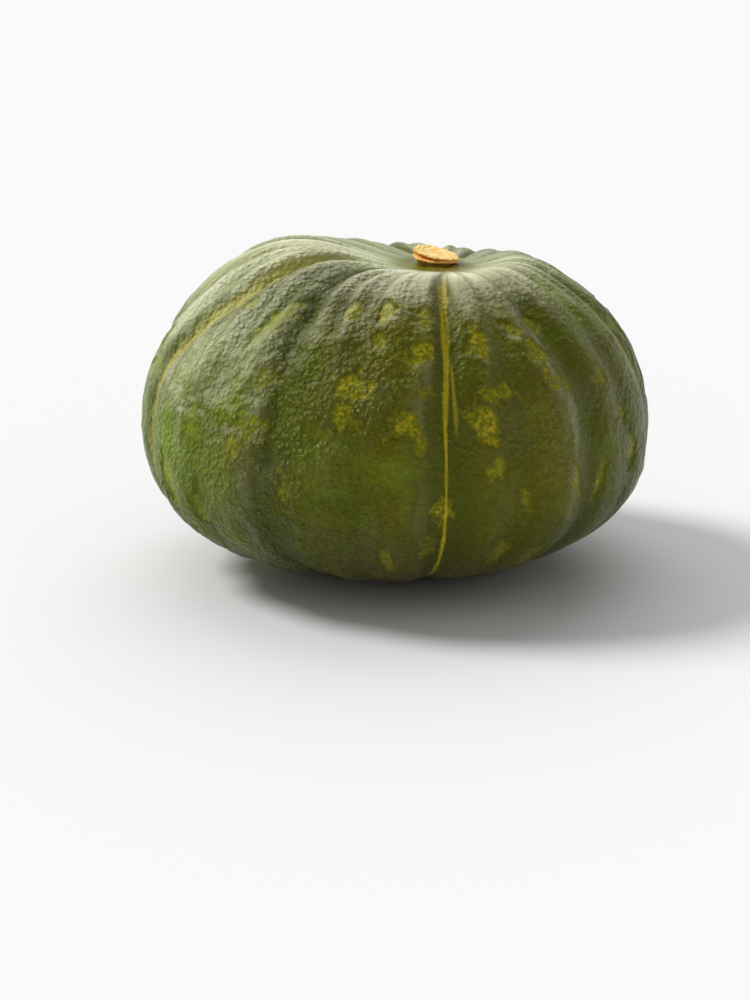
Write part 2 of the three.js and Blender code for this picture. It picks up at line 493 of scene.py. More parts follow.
class RindMarks:
    """Where the rind of a fruit is ribbed, folded, lumpy, blotched and scraped, as one value for each point."""

    def __init__(self, form):
        self.form = form
        plain = form.plain(np.zeros_like(form.angle))
        self.fade = form.fades()
        self.broad = clouds(plain, 34 * MM, 2, 3.1)
        self.lumps = clouds(plain, 11 * MM, 3, 8.4)
        self.dents = clouds(plain, 4.6 * MM, 2, 1.7)
        ragged = clouds(plain, 3.4 * MM, 2, 5.2)
        wander = 1.6 * clouds(plain, 42 * MM, 1, 9.3)
        self.valley = form.valleys(8.5, 1.5, wander)
        self.crease = form.valleys(2.8, 1.8, wander)
        self.crest = form.crests(wander)
        bearing, latitude = SCRAPE_PLACE
        lean = 0.28 * (form.latitude - latitude)
        beside = np.radians(turn_between(form.degrees, bearing + lean)) * form.across / MM
        along = np.abs(np.radians(form.latitude - latitude) * form.reach / MM) + 1.5 * ragged
        ends = 1 - smooth(8, 13, along)
        self.scrape = smooth(-0.4, 0.4, beside) * (1 - smooth(2.5, 8.5, beside)) * ends
        self.nick = np.exp(-(((beside + 0.3) / 0.9) ** 2)) * ends
        leathery = 0.32 + 0.68 * np.exp(-(((form.degrees + 38) / 34) ** 2)) + 0.3 * self.broad
        self.leathery = np.clip(leathery, 0.2, 1.1)
        self.leathery *= (1 - 0.65 * smooth(0.8, 0.95, form.up)) * (1 - 0.8 * self.scrape)
        uneven = np.clip(0.75 + 0.9 * clouds(plain, 26 * MM, 1, 6.6), 0.15, 1.3)
        shoulder = smooth(form.seat * 1.5, form.seat * 3.6, form.across) * smooth(0.40, 0.84, form.up)
        self.pleat = form.folds(wander * 1.6) * uneven * shoulder
        self.blotch, self.dent = blotch_masks(form, ragged)

    def sink(self, s):
        """How far each point of the rind lies below the plain outline."""
        fade = self.fade
        sink = s.rib_depth * self.valley * fade
        sink += s.crease_depth * (self.crease - 0.7 * self.crest) * fade * (0.5 + 0.5 * self.form.climb)
        sink += s.pleat_depth * self.pleat
        sink -= s.lump_height * fade * (0.9 * self.broad + 1.1 * self.lumps * self.leathery)
        sink -= 0.26 * MM * self.dents * fade * self.leathery * (1 - self.dent)
        sink += s.blotch_depth * self.dent * fade + (0.35 * self.scrape + 0.8 * self.nick) * MM
        return sink

    def keep(self, s, mesh):
        """Stores on the mesh what the rind's material reads."""
        form = self.form
        level = form.reach * np.sin(form.angle) / s.crown_height
        store_vectors(mesh, "meridian", np.stack((np.sin(form.bearing), -np.cos(form.bearing), form.up), axis=1))
        store(mesh, "around", form.across / MM)
        store(mesh, "blotch", self.blotch)
        # The valley and fold masks are read for the painted shade in the troughs.
        store(mesh, "valley", np.clip(self.valley * self.fade, 0, 1.3))
        # Painted shade: the far side, away from the lit side, is stored to be tinted darker, and the rind also grows
        # darker towards the bottom.
        painted_lit = smooth(135, 60, np.abs(turn_between(form.degrees, PAINTED_LIT_SIDE)))
        store(mesh, "shade", (0.46 + 0.54 * painted_lit) * (1 - 0.3 * smooth(0.1, -0.45, level)))
        side, rise = form.distance_from(*GROUND_PATCH_PLACE)
        patch = np.hypot(side / GROUND_PATCH_REACH[0], rise / GROUND_PATCH_REACH[1])
        store(mesh, "ground", 1 - smooth(0.3, 1.2, patch + 0.25 * self.broad))
        store(mesh, "base", smooth(-0.35, -0.62, level))
        store(mesh, "fold", np.clip(self.pleat + 0.9 * self.nick, 0, 1.2))
        # Where the painted highlight along the crests shows: less at the front.
        shown = 0.35 + 0.65 * smooth(14, 40, np.abs(turn_between(form.degrees, 2)))
        store(mesh, "crest", np.clip(self.crest * self.fade * shown, 0, 1))
        store(mesh, "leathery", self.leathery)
        store(mesh, "warm", np.exp(-((turn_between(form.degrees, 20) / 62) ** 2)) + 0.25 * self.broad)
        store(mesh, "bloom_and_painted_highlight", self.bloom_and_painted_highlight(mesh))

    def bloom_and_painted_highlight(self, mesh):
        """Where the waxy bloom and a painted highlight lie: on what faces up, more on the lit left and towards the
        lit side, and in a ring and a lip round the stem. They thin in the valleys and folds.
        """
        form = self.form
        normals = np.empty(len(mesh.vertices) * 3)
        mesh.vertices.foreach_get("normal", normals)
        facing = normals.reshape(-1, 3)[:, 2]
        crown = form.angle > 0
        ring = np.exp(-(((form.across - 33 * MM) / (15 * MM)) ** 2)) * crown
        lip = np.exp(-(((form.across - 28 * MM) / (11 * MM)) ** 2)) * crown
        lip *= smooth(75, 25, np.abs(turn_between(form.degrees, -5)))
        left = smooth(2, 55, -form.degrees) * smooth(150, 85, -form.degrees)
        # Painted highlight: what faces up, and more of it on the lit left, gets the pale bloom colour.
        cover = (0.64 + 0.38 * left) * smooth(0.66 - 0.58 * left, 0.97 - 0.26 * left, facing) + 0.45 * ring
        # Painted shade: the bloom and its highlight thin away from the lit side.
        cover *= 0.55 + 0.45 * smooth(150, 80, np.abs(turn_between(form.degrees, PAINTED_LIT_SIDE)))
        cover *= 1 - 0.7 * np.clip(self.valley, 0, 1)
        cover *= 1 - 0.75 * np.clip(self.pleat, -0.3, 1)
        cover *= np.where(crown, smooth(form.seat * 1.1, form.seat * 2.0, form.across), 1)
        # Painted highlight on the lit lip in front of the stem.
        cover += 0.45 * lip * (1 - 0.4 * np.clip(self.pleat, 0, 1))
        return np.clip(cover + 0.10 * self.broad, 0, 1)


def ball_of_quads(cuts):
    """A cube cut into a fine grid, ready to be pushed out to a ball."""
    ball = bmesh.new()
    bmesh.ops.create_cube(ball, size=2.0)
    bmesh.ops.subdivide_edges(ball, edges=ball.edges[:], cuts=cuts, use_grid_fill=True)
    bmesh.ops.recalc_face_normals(ball, faces=ball.faces[:])
    mesh = bpy.data.meshes.new("fruit")
    ball.to_mesh(mesh)
    ball.free()
    return mesh


class PUMPKIN_OT_add_fruit(bpy.types.Operator):
    """Makes the ribbed fruit with its rind"""

    bl_idname = "pumpkin.add_fruit"
    bl_label = "Add fruit"

    def execute(self, context):
        s = context.scene.pumpkin_fruit
        mesh = ball_of_quads(s.grid_cuts)
        start = np.empty(len(mesh.vertices) * 3)
        mesh.vertices.foreach_get("co", start)
        start = np.tan(start.reshape(-1, 3) * math.pi / 4)
        form = FruitForm(s, start / np.linalg.norm(start, axis=1)[:, None])
        marks = RindMarks(form)
        places = form.plain(marks.sink(s))
        self.add_small_marks(form, places)
        places = self.fit_to_box(places, form.plain(s.rib_depth * marks.valley * marks.fade))
        mesh.vertices.foreach_set("co", np.ascontiguousarray(places, dtype=np.float32).ravel())
        mesh.update()
        marks.keep(s, mesh)
        mesh.polygons.foreach_set("use_smooth", np.ones(len(mesh.polygons), dtype=bool))
        fruit = new_object("pumpkin_fruit", mesh)
        mesh.materials.append(rind_material(s))
        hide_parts("fruit")
        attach(fruit, "root")
        return {"FINISHED"}

    def add_small_marks(self, form, places):
        """Raises the pimple on the front line and the low collar round the stem, and sinks the blossom scar."""
        side, rise = form.distance_from(*PIMPLE_PLACE)
        pimple = np.exp(-(side**2 + rise**2) / 1.6)
        places += form.outward() * (0.9 * MM * pimple)[:, None]
        scar = np.where(form.angle < 0, np.clip(1 - form.across / (9 * MM), 0, 1), 0)
        places[:, 2] += 2.6 * MM * scar**1.2
        flare = np.exp(-(((form.across / form.seat) - 0.75) / 0.16) ** 2) * (form.angle > 0)
        lobes = 0.6 + 0.4 * np.cos(form.bearing * 5 + 0.5)
        places[:, 2] += 0.8 * MM * flare * lobes

    def fit_to_box(self, places, outline):
        """Moves and sizes the form so that its plain outline fills the fruit's own box."""
        low, high = outline.min(0), outline.max(0)
        size = (FRUIT_BOX[1] - FRUIT_BOX[0]) / (high - low)
        fitted = (places - low) * size + FRUIT_BOX[0]
        fitted[:, 2] = np.maximum(fitted[:, 2], FRUIT_BOX[0][2])
        return fitted


def node(tree, kind, **settings):
    """A new node with the given settings."""
    made = tree.nodes.new(kind)
    for key, value in settings.items():
        setattr(made, key, value)
    return made


def join(tree, source, target):
    """Links an output to an input."""
    tree.links.new(source, target)


def calc(tree, operation, first, second=None, third=None, clamp=False):
    """A Math node whose inputs are sockets or numbers."""
    made = tree.nodes.new("ShaderNodeMath")
    made.operation = operation
    made.use_clamp = clamp
    for slot, value in enumerate((first, second, third)):
        if value is None:
            continue
        if isinstance(value, (int, float)):
            made.inputs[slot].default_value = value
        else:
            tree.links.new(value, made.inputs[slot])
    return made.outputs[0]


def times(tree, first, second, clamp=False):
    """One value times another."""
    return calc(tree, "MULTIPLY", first, second, clamp=clamp)


def plus(tree, first, second):
    """The sum of two values."""
    return calc(tree, "ADD", first, second)


def without(tree, share, clamp=False):
    """What a share leaves of the whole."""
    return calc(tree, "SUBTRACT", 1.0, share, clamp=clamp)


def ramp(tree, value, low, high, to_low=0.0, to_high=1.0, kind="SMOOTHSTEP"):
    """Stretches a value between two limits to a new range."""
    made = tree.nodes.new("ShaderNodeMapRange")
    made.interpolation_type = kind
    tree.links.new(value, made.inputs[0])
    for slot, number in enumerate((low, high, to_low, to_high), start=1):
        if isinstance(number, (int, float)):
            made.inputs[slot].default_value = number
        else:
            tree.links.new(number, made.inputs[slot])
    return made.outputs[0]


def tint(tree, share, base, colour):
    """Mixes a colour or a socket over a base by a share."""
    made = tree.nodes.new("ShaderNodeMix")
    made.data_type = "RGBA"
    for socket, value in ((made.inputs[0], share), (made.inputs[6], base), (made.inputs[7], colour)):
        if isinstance(value, bpy.types.NodeSocket):
            tree.links.new(value, socket)
        elif isinstance(value, (int, float)):
            socket.default_value = value
        else:
            socket.default_value = (*value, 1.0)
    return made.outputs[2]


def attribute(tree, name, output="Fac"):
    """An output of the mesh attribute with this name."""
    made = tree.nodes.new("ShaderNodeAttribute")
    made.attribute_type = "GEOMETRY"
    made.attribute_name = name
    return made.outputs[output]


def new_group(name, inputs, outputs):
    """An empty node group with named inputs and outputs."""
    group = bpy.data.node_groups.new(name, "ShaderNodeTree")
    for label, kind, default in inputs:
        socket = group.interface.new_socket(label, in_out="INPUT", socket_type=kind)
        if default is not None:
            socket.default_value = default
    for label, kind in outputs:
        group.interface.new_socket(label, in_out="OUTPUT", socket_type=kind)
    source = group.nodes.new("NodeGroupInput")
    sink = group.nodes.new("NodeGroupOutput")
    return group, source.outputs, sink.inputs


def place_group(tree, group, **values):
    """Places a node group and gives its inputs sockets or numbers by name, with _ for a space."""
    made = tree.nodes.new("ShaderNodeGroup")
    made.node_tree = group
    for key, value in values.items():
        socket = made.inputs[key.replace("_", " ")]
        if isinstance(value, bpy.types.NodeSocket):
            tree.links.new(value, socket)
        else:
            socket.default_value = value
    return made.outputs


def mottle_group():
    """Patches with soft or ragged borders, for colour changes in a rind, cork or floor."""
    name = "Mottle"
    if name in bpy.data.node_groups:
        return bpy.data.node_groups[name]
    group, given, out = new_group(
        name,
        (
            ("Place", "NodeSocketVector", None),
            ("Scale", "NodeSocketFloat", 50.0),
            ("Detail", "NodeSocketFloat", 4.0),
            ("Warp", "NodeSocketFloat", 0.5),
            ("Low", "NodeSocketFloat", 0.4),
            ("High", "NodeSocketFloat", 0.6),
        ),
        (("Mask", "NodeSocketFloat"), ("Value", "NodeSocketFloat")),
    )
    clouds_node = group.nodes.new("ShaderNodeTexNoise")
    join(group, given["Place"], clouds_node.inputs["Vector"])
    join(group, given["Scale"], clouds_node.inputs["Scale"])
    join(group, given["Detail"], clouds_node.inputs["Detail"])
    join(group, given["Warp"], clouds_node.inputs["Distortion"])
    clouds_node.inputs["Roughness"].default_value = 0.6
    value = clouds_node.outputs["Fac"]
    join(group, ramp(group, value, given["Low"], given["High"]), out["Mask"])
    join(group, value, out["Value"])
    return group


def pebble_group():
    """Leathery pebbles: rounded cells with fine grain on them, as a height and as a mask of their creases."""
    name = "Pebbles"
    if name in bpy.data.node_groups:
        return bpy.data.node_groups[name]
    group, given, out = new_group(
        name,
        (
            ("Place", "NodeSocketVector", None),
            ("Scale", "NodeSocketFloat", 500.0),
            ("Warp", "NodeSocketFloat", 0.001),
            ("Grain", "NodeSocketFloat", 0.25),
        ),
        (("Height", "NodeSocketFloat"), ("Crease", "NodeSocketFloat")),
    )
    bend = node(group, "ShaderNodeTexNoise", noise_dimensions="3D")
    bend.inputs["Scale"].default_value = 260.0
    bend.inputs["Detail"].default_value = 2.0
    join(group, given["Place"], bend.inputs["Vector"])
    centred = node(group, "ShaderNodeVectorMath", operation="SUBTRACT")
    join(group, bend.outputs["Color"], centred.inputs[0])
    centred.inputs[1].default_value = (0.5, 0.5, 0.5)
    scaled = node(group, "ShaderNodeVectorMath", operation="SCALE")
    join(group, centred.outputs[0], scaled.inputs[0])
    join(group, given["Warp"], scaled.inputs["Scale"])
    moved = node(group, "ShaderNodeVectorMath", operation="ADD")
    join(group, given["Place"], moved.inputs[0])
    join(group, scaled.outputs[0], moved.inputs[1])
    cells = node(group, "ShaderNodeTexVoronoi", feature="SMOOTH_F1")
    cells.inputs["Smoothness"].default_value = 0.35
    join(group, moved.outputs[0], cells.inputs["Vector"])
    join(group, given["Scale"], cells.inputs["Scale"])
    dome = ramp(group, cells.outputs["Distance"], 0.72, 0.0)
    small = node(group, "ShaderNodeTexVoronoi", feature="SMOOTH_F1")
    small.inputs["Smoothness"].default_value = 0.4
    join(group, moved.outputs[0], small.inputs["Vector"])
    join(group, times(group, given["Scale"], 1.9), small.inputs["Scale"])
    dome = calc(group, "MULTIPLY_ADD", ramp(group, small.outputs["Distance"], 0.7, 0.0), 0.28, dome)
    fine = node(group, "ShaderNodeTexNoise", noise_dimensions="3D")
    fine.inputs["Detail"].default_value = 3.0
    fine.inputs["Roughness"].default_value = 0.65
    join(group, given["Place"], fine.inputs["Vector"])
    join(group, times(group, given["Scale"], 2.3), fine.inputs["Scale"])
    grain = times(group, calc(group, "SUBTRACT", fine.outputs["Fac"], 0.5), given["Grain"])
    height = plus(group, dome, times(group, grain, 2.0))
    join(group, height, out["Height"])
    join(group, ramp(group, height, 0.6, 0.15), out["Crease"])
    return group


def stripe_group():
    """A line that follows a bearing up the fruit and changes width on the way, with a ragged border."""
    name = "Valley line"
    if name in bpy.data.node_groups:
        return bpy.data.node_groups[name]
    group, given, out = new_group(
        name,
        (
            ("Bearing", "NodeSocketFloat", 0.0),
            ("Climb", "NodeSocketFloat", 0.0),
            ("Around", "NodeSocketFloat", 80.0),
            ("Ragged", "NodeSocketFloat", 0.5),
            ("Low", "NodeSocketFloat", 0.0),
            ("High", "NodeSocketFloat", 0.0),
            ("Width low", "NodeSocketFloat", 1.0),
            ("Width high", "NodeSocketFloat", 1.0),
            ("Strength", "NodeSocketFloat", 1.0),
        ),
        (("Mask", "NodeSocketFloat"),),
    )
    rise = calc(group, "SUBTRACT", given["High"], given["Low"])
    line = calc(group, "MULTIPLY_ADD", rise, given["Climb"], given["Low"])
    turn = calc(group, "WRAP", calc(group, "SUBTRACT", given["Bearing"], line), 180.0, -180.0)
    away = times(group, calc(group, "ABSOLUTE", turn), times(group, given["Around"], RADIANS_PER_DEGREE))
    widening = calc(group, "SUBTRACT", given["Width high"], given["Width low"])
    width = calc(group, "MULTIPLY_ADD", widening, given["Climb"], given["Width low"])
    ragged = calc(group, "MULTIPLY_ADD", calc(group, "SUBTRACT", given["Ragged"], 0.5), 2.4, 1.0)
    ratio = calc(group, "DIVIDE", away, calc(group, "MAXIMUM", times(group, width, ragged), 0.05))
    mask = ramp(group, ratio, 1.6, 0.55)
    join(group, times(group, mask, given["Strength"]), out["Mask"])
    return group


def new_material(name):
    """An empty material with one shader on its surface."""
    made = bpy.data.materials.new(name)
    made.use_nodes = True
    tree = made.node_tree
    tree.nodes.clear()
    shader = tree.nodes.new("ShaderNodeBsdfPrincipled")
    surface = tree.nodes.new("ShaderNodeOutputMaterial")
    tree.links.new(shader.outputs[0], surface.inputs[0])
    return made, tree, shader


class RindPattern:
    """The marks and patterns that the steps of the rind's material share, and those steps."""

    def __init__(self, tree):
        self.tree = tree
        place = tree.nodes.new("ShaderNodeTexCoord").outputs["Object"]
        split = node(tree, "ShaderNodeSeparateXYZ")
        join(tree, attribute(tree, "meridian", "Vector"), split.inputs[0])
        self.meridian = split.outputs
        self.up = split.outputs["Z"]
        self.around = attribute(tree, "around")
        self.blotch = attribute(tree, "blotch")
        self.leathery = attribute(tree, "leathery")
        self.warm = attribute(tree, "warm")
        mottle = mottle_group()
        self.pebbles = place_group(tree, pebble_group(), Place=place, Scale=500.0, Warp=0.0014, Grain=0.22)
        self.broad = place_group(tree, mottle, Place=place, Scale=26.0, Detail=3.0, Warp=0.6, Low=0.36, High=0.62)
        self.middle = place_group(tree, mottle, Place=place, Scale=90.0, Detail=4.0, Warp=0.4, Low=0.38, High=0.66)
        self.fine = place_group(tree, mottle, Place=place, Scale=480.0, Detail=3.0, Warp=0.2, Low=0.36, High=0.66)
        self.grit = place_group(tree, mottle, Place=place, Scale=700.0, Detail=3.0, Warp=0.3, Low=0.44, High=0.58)
        self.flecks = place_group(tree, mottle, Place=place, Scale=950.0, Detail=2.0, Warp=0.0, Low=0.62, High=0.74)
        self.streaks = self.stretched_noise(24.0, 4.0, 4.0)
        self.crease = times(tree, self.pebbles["Crease"], times(tree, self.leathery, 0.3))
        self.ragged = plus(tree, times(tree, self.middle["Value"], 1.3), times(tree, self.fine["Value"], 1.3))
        self.border = plus(tree, self.blotch, calc(tree, "SUBTRACT", self.ragged, 1.3))
        self.inside = times(tree, ramp(tree, self.border, 0.05, 0.75), ramp(tree, self.blotch, 0.0, 0.3))

    def stretched_noise(self, around, upward, detail):
        """Noise with its own scale round the fruit and up it, for streaks and broken lines."""
        tree = self.tree
        made = node(tree, "ShaderNodeTexNoise", noise_dimensions="3D")
        made.inputs["Scale"].default_value = 1.0
        made.inputs["Detail"].default_value = detail
        stretch = node(tree, "ShaderNodeCombineXYZ")
        for axis, scale in (("X", around), ("Y", around), ("Z", upward)):
            join(tree, times(tree, self.meridian[axis], scale), stretch.inputs[axis])
        join(tree, stretch.outputs[0], made.inputs["Vector"])
        return made.outputs["Fac"]

    def skin(self, s):
        """The mixed greens and browns, with painted shade darkening the pebble creases, valleys and folds."""
        tree = self.tree
        green = tint(tree, times(tree, self.broad["Mask"], 0.75), s.deep_green, s.leaf_green)
        brown = tint(tree, times(tree, self.broad["Mask"], 0.5), tuple(c * 0.55 for c in s.olive), s.olive)
        hue = plus(tree, self.warm, times(tree, calc(tree, "SUBTRACT", self.middle["Value"], 0.5), 1.6))
        colour = tint(tree, ramp(tree, hue, 0.1, 1.0), green, brown)
        colour = tint(tree, times(tree, self.fine["Mask"], 0.22), colour, s.leaf_green)
        # Painted shade in the creases between the pebbles.
        colour = tint(tree, self.crease, colour, tuple(c * 0.4 for c in s.deep_green))
        # Painted shade along the valleys and the shoulder folds.
        hollow = calc(tree, "MAXIMUM", attribute(tree, "valley"), attribute(tree, "fold"))
        trough_shade = times(tree, ramp(tree, hollow, 0.15, 0.9), 0.78)
        return tint(tree, trough_shade, colour, tuple(0.5 * a + 0.1 * b for a, b in zip(s.deep_green, s.olive)))

    def blotched(self, s, colour):
        """Lays the speckled blotches over a colour, each with a darker border and a paler core."""
        tree = self.tree
        rim = times(tree, ramp(tree, self.blotch, 0.0, 0.25), without(tree, self.inside))
        colour = tint(tree, times(tree, rim, 0.4), colour, tuple(c * 0.5 for c in s.olive))
        yellowed = times(
            tree, ramp(tree, self.warm, 0.1, 0.8), ramp(tree, self.fine["Value"], 0.36, 0.58, 0.4, 1.0)
        )
        patch = tint(tree, yellowed, tuple(c * 0.85 for c in s.leaf_green), s.blotch_yellow)
        speckled = times(tree, self.inside, ramp(tree, self.grit["Mask"], 0.0, 1.0, 0.34, 0.76, "LINEAR"))
        colour = tint(tree, speckled, colour, patch)
        core = times(tree, ramp(tree, self.border, 0.6, 0.95), times(tree, self.grit["Mask"], 0.55))
        return tint(tree, core, colour, s.stripe_olive)

    def weathered_and_shaded(self, s, colour):
        """Adds the painted shadow round the stem's foot, the painted shade of the far side, the ground patch and the
        netting round the blossom scar.
        """
        tree = self.tree
        # Painted shadow: an olive ring round the stem's foot, where the stub shades the hollow.
        colour = tint(tree, ramp(tree, self.around, 17.0, 9.0, 0.0, 0.8), colour, s.olive)
        # Painted shade on the far side, and darker towards the bottom.
        colour = tint(tree, without(tree, attribute(tree, "shade")), colour, PAINTED_SHADE_GREEN)
        ground = times(tree, attribute(tree, "ground"), ramp(tree, self.ragged, 0.9, 1.4, 0.3, 0.75))
        colour = tint(tree, ground, colour, s.ground_yellow)
        veins = calc(tree, "ABSOLUTE", calc(tree, "SUBTRACT", self.fine["Value"], 0.5))
        net = times(tree, ramp(tree, veins, 0.045, 0.01), times(tree, attribute(tree, "base"), 0.6))
        colour = tint(tree, net, colour, s.corky_tan)
        scar = times(tree, ramp(tree, self.around, 10.0, 6.0), calc(tree, "LESS_THAN", self.up, 0.0))
        return tint(tree, times(tree, scar, 0.8), colour, s.corky_tan)

    def lines(self):
        """The lines in the valleys, and how much of each is creamy."""
        tree = self.tree
        rightward, frontward = self.meridian["X"], times(tree, self.meridian["Y"], -1.0)
        course = {
            "Bearing": calc(tree, "DEGREES", calc(tree, "ARCTAN2", rightward, frontward)),
            "Climb": ramp(tree, self.up, 0.25, 0.9),
            "Around": self.around,
            "Ragged": self.middle["Value"],
        }
        gaps = ramp(tree, self.stretched_noise(9.0, 5.0, 2.0), 0.44, 0.58)
        lines = None
        creamy = None
        for low, high, width_low, width_high, strength, cream, broken in STRIPES:
            mask = place_group(
                tree, stripe_group(), **course, Low=float(low), High=float(high), Width_low=width_low,
                Width_high=width_high, Strength=strength,
            )["Mask"]
            if broken > 0:
                mask = times(tree, mask, ramp(tree, gaps, 0.0, 1.0, 1.0 - broken, 1.0, "LINEAR"))
            lines = mask if lines is None else calc(tree, "MAXIMUM", lines, mask)
            pale = times(tree, mask, cream)
            creamy = pale if creamy is None else calc(tree, "MAXIMUM", creamy, pale)
        low, high, width_low, width_high, strength = SIDE_STRIPE
        side = place_group(
            tree, stripe_group(), **course, Low=low, High=high, Width_low=width_low, Width_high=width_high,
            Strength=strength,
        )["Mask"]
        side = times(tree, side, times(tree, ramp(tree, self.up, 0.22, 0.32), ramp(tree, self.up, 0.62, 0.5)))
        return calc(tree, "MAXIMUM", lines, side), creamy

    def line_strength(self):
        """How clearly the lines show: they fade in streaks, under fine mottling and near the stem."""
        tree = self.tree
        seen = times(tree, ramp(tree, self.streaks, 0.3, 0.55, 0.5, 1.0), ramp(tree, self.up, 0.97, 0.87))
        return times(tree, seen, ramp(tree, self.fine["Value"], 0.3, 0.5, 0.7, 1.0))

    def bloom_and_painted_highlight(self):
        """The waxy bloom with its painted highlight: streaked, thin inside blotches and creases, and a painted
        highlight along the crests.
        """
        tree = self.tree
        wax_and_highlight = times(tree, attribute(tree, "bloom_and_painted_highlight"), ramp(tree, self.streaks, 0.32, 0.66, 0.5, 1.25))
        wax_and_highlight = times(tree, wax_and_highlight, without(tree, times(tree, self.inside, 0.6)))
        wax_and_highlight = times(tree, wax_and_highlight, without(tree, times(tree, self.crease, 0.8)), clamp=True)
        # Painted highlight along the rib crests on the left of each valley.
        ridge = times(tree, attribute(tree, "crest"), ramp(tree, self.streaks, 0.35, 0.65, 0.08, 0.34))
        ridge = times(tree, ridge, without(tree, self.inside))
        return calc(tree, "MAXIMUM", wax_and_highlight, times(tree, ridge, ramp(tree, self.up, 0.0, 0.5, 0.5, 1.0)))

    def relief(self, lines):
        """The height of the pebbles and the uneven rind, sunken in blotches and lines."""
        tree = self.tree
        height = times(tree, self.pebbles["Height"], self.leathery)
        height = times(tree, height, without(tree, times(tree, self.inside, 0.55)))
        height = calc(tree, "SUBTRACT", height, times(tree, self.inside, 0.5))
        height = plus(tree, height, times(tree, lines, -0.35))
        height = plus(tree, height, times(tree, self.fine["Value"], 0.5))
        return plus(tree, height, times(tree, self.middle["Value"], 1.2))


def add_bump(tree, shader, height, strength, distance):
    """Gives a shader fine relief from a height."""
    bump = node(tree, "ShaderNodeBump")
    bump.inputs["Strength"].default_value = strength
    bump.inputs["Distance"].default_value = distance
    join(tree, height, bump.inputs["Height"])
    join(tree, bump.outputs[0], shader.inputs["Normal"])


def rind_material(s):
    """Dark leathery rind: pebbled, blotched and lined, with a waxy bloom and a painted highlight where it faces up,
    and painted shade in its creases, valleys and folds.
    """
    made, tree, shader = new_material("rind")
    rind = RindPattern(tree)
    colour = rind.weathered_and_shaded(s, rind.blotched(s, rind.skin(s)))
    wax_and_highlight = rind.bloom_and_painted_highlight()
    lines, creamy = rind.lines()
    seen = rind.line_strength()
    # Waxy bloom with a painted highlight on what faces up, on the lit left and on the crests.
    colour = tint(tree, times(tree, wax_and_highlight, 0.88), colour, s.bloom_and_highlight_grey)
    colour = tint(tree, times(tree, times(tree, lines, seen), 0.85), colour, s.stripe_olive)
    colour = tint(tree, times(tree, creamy, seen), colour, s.stripe_cream)
    # Pebble tops paler with the bloom colour: partly waxy bloom, partly a painted highlight on the lit bumps.
    pebble_top_wax_and_highlight = times(tree, ramp(tree, rind.pebbles["Height"], 0.8, 1.3), times(tree, rind.leathery, 0.14))
    colour = tint(tree, pebble_top_wax_and_highlight, colour, s.bloom_and_highlight_grey)
    colour = tint(tree, times(tree, rind.flecks["Mask"], 0.08), colour, s.stripe_cream)
    join(tree, colour, shader.inputs["Base Color"])
    rough = ramp(tree, wax_and_highlight, 0.0, 0.8, 0.33, 0.45, "LINEAR")
    rough = plus(tree, rough, times(tree, calc(tree, "SUBTRACT", rind.fine["Value"], 0.5), 0.25))
    join(tree, rough, shader.inputs["Roughness"])
    shader.inputs["IOR"].default_value = 1.45
    shader.inputs["Specular IOR Level"].default_value = 0.2
    shader.inputs["Specular Tint"].default_value = (0.95, 1.0, 0.5, 1.0)
    shader.inputs["Sheen Weight"].default_value = 0.03
    shader.inputs["Sheen Roughness"].default_value = 0.35
    shader.inputs["Sheen Tint"].default_value = (0.9, 0.95, 0.75, 1.0)
    add_bump(tree, shader, rind.relief(lines), 1.0, 1.1 * MM)
    return made


def stem_profile(rim):
    """Half outline of the stub in mm, from the middle of its foot round the rim to the middle of the cut."""
    foot = ((0.0, -0.7), (3.0, -0.7), (rim - 1.2, -0.7), (rim - 1.5, 0.0), (rim - 1.7, 0.6), (rim - 1.5, 1.0))
    lower_lip = ((rim - 0.9, 1.35), (rim - 0.3, 1.6), (rim + 0.1, 1.9), (rim + 0.2, 2.2), (rim + 0.05, 2.5))
    split = ((rim - 0.2, 2.7), (rim - 0.25, 2.85), (rim - 0.25, 3.0), (rim - 0.2, 3.15), (rim - 0.1, 3.35))
    upper_lip = ((rim - 0.05, 3.6), (rim - 0.1, 3.9), (rim - 0.25, 4.15), (rim - 0.5, 4.35), (rim - 0.9, 4.45))
    outer_cut = ((rim - 1.5, 4.5), (rim - 2.2, 4.5), (rim - 3.0, 4.48), (rim - 3.8, 4.45), (rim - 4.6, 4.4))
    inner_cut = ((rim - 5.4, 4.35), (rim - 6.2, 4.3), (rim - 7.0, 4.25), (0.6, 4.2), (0.0, 4.2))
    return foot + lower_lip + split + upper_lip + outer_cut + inner_cut


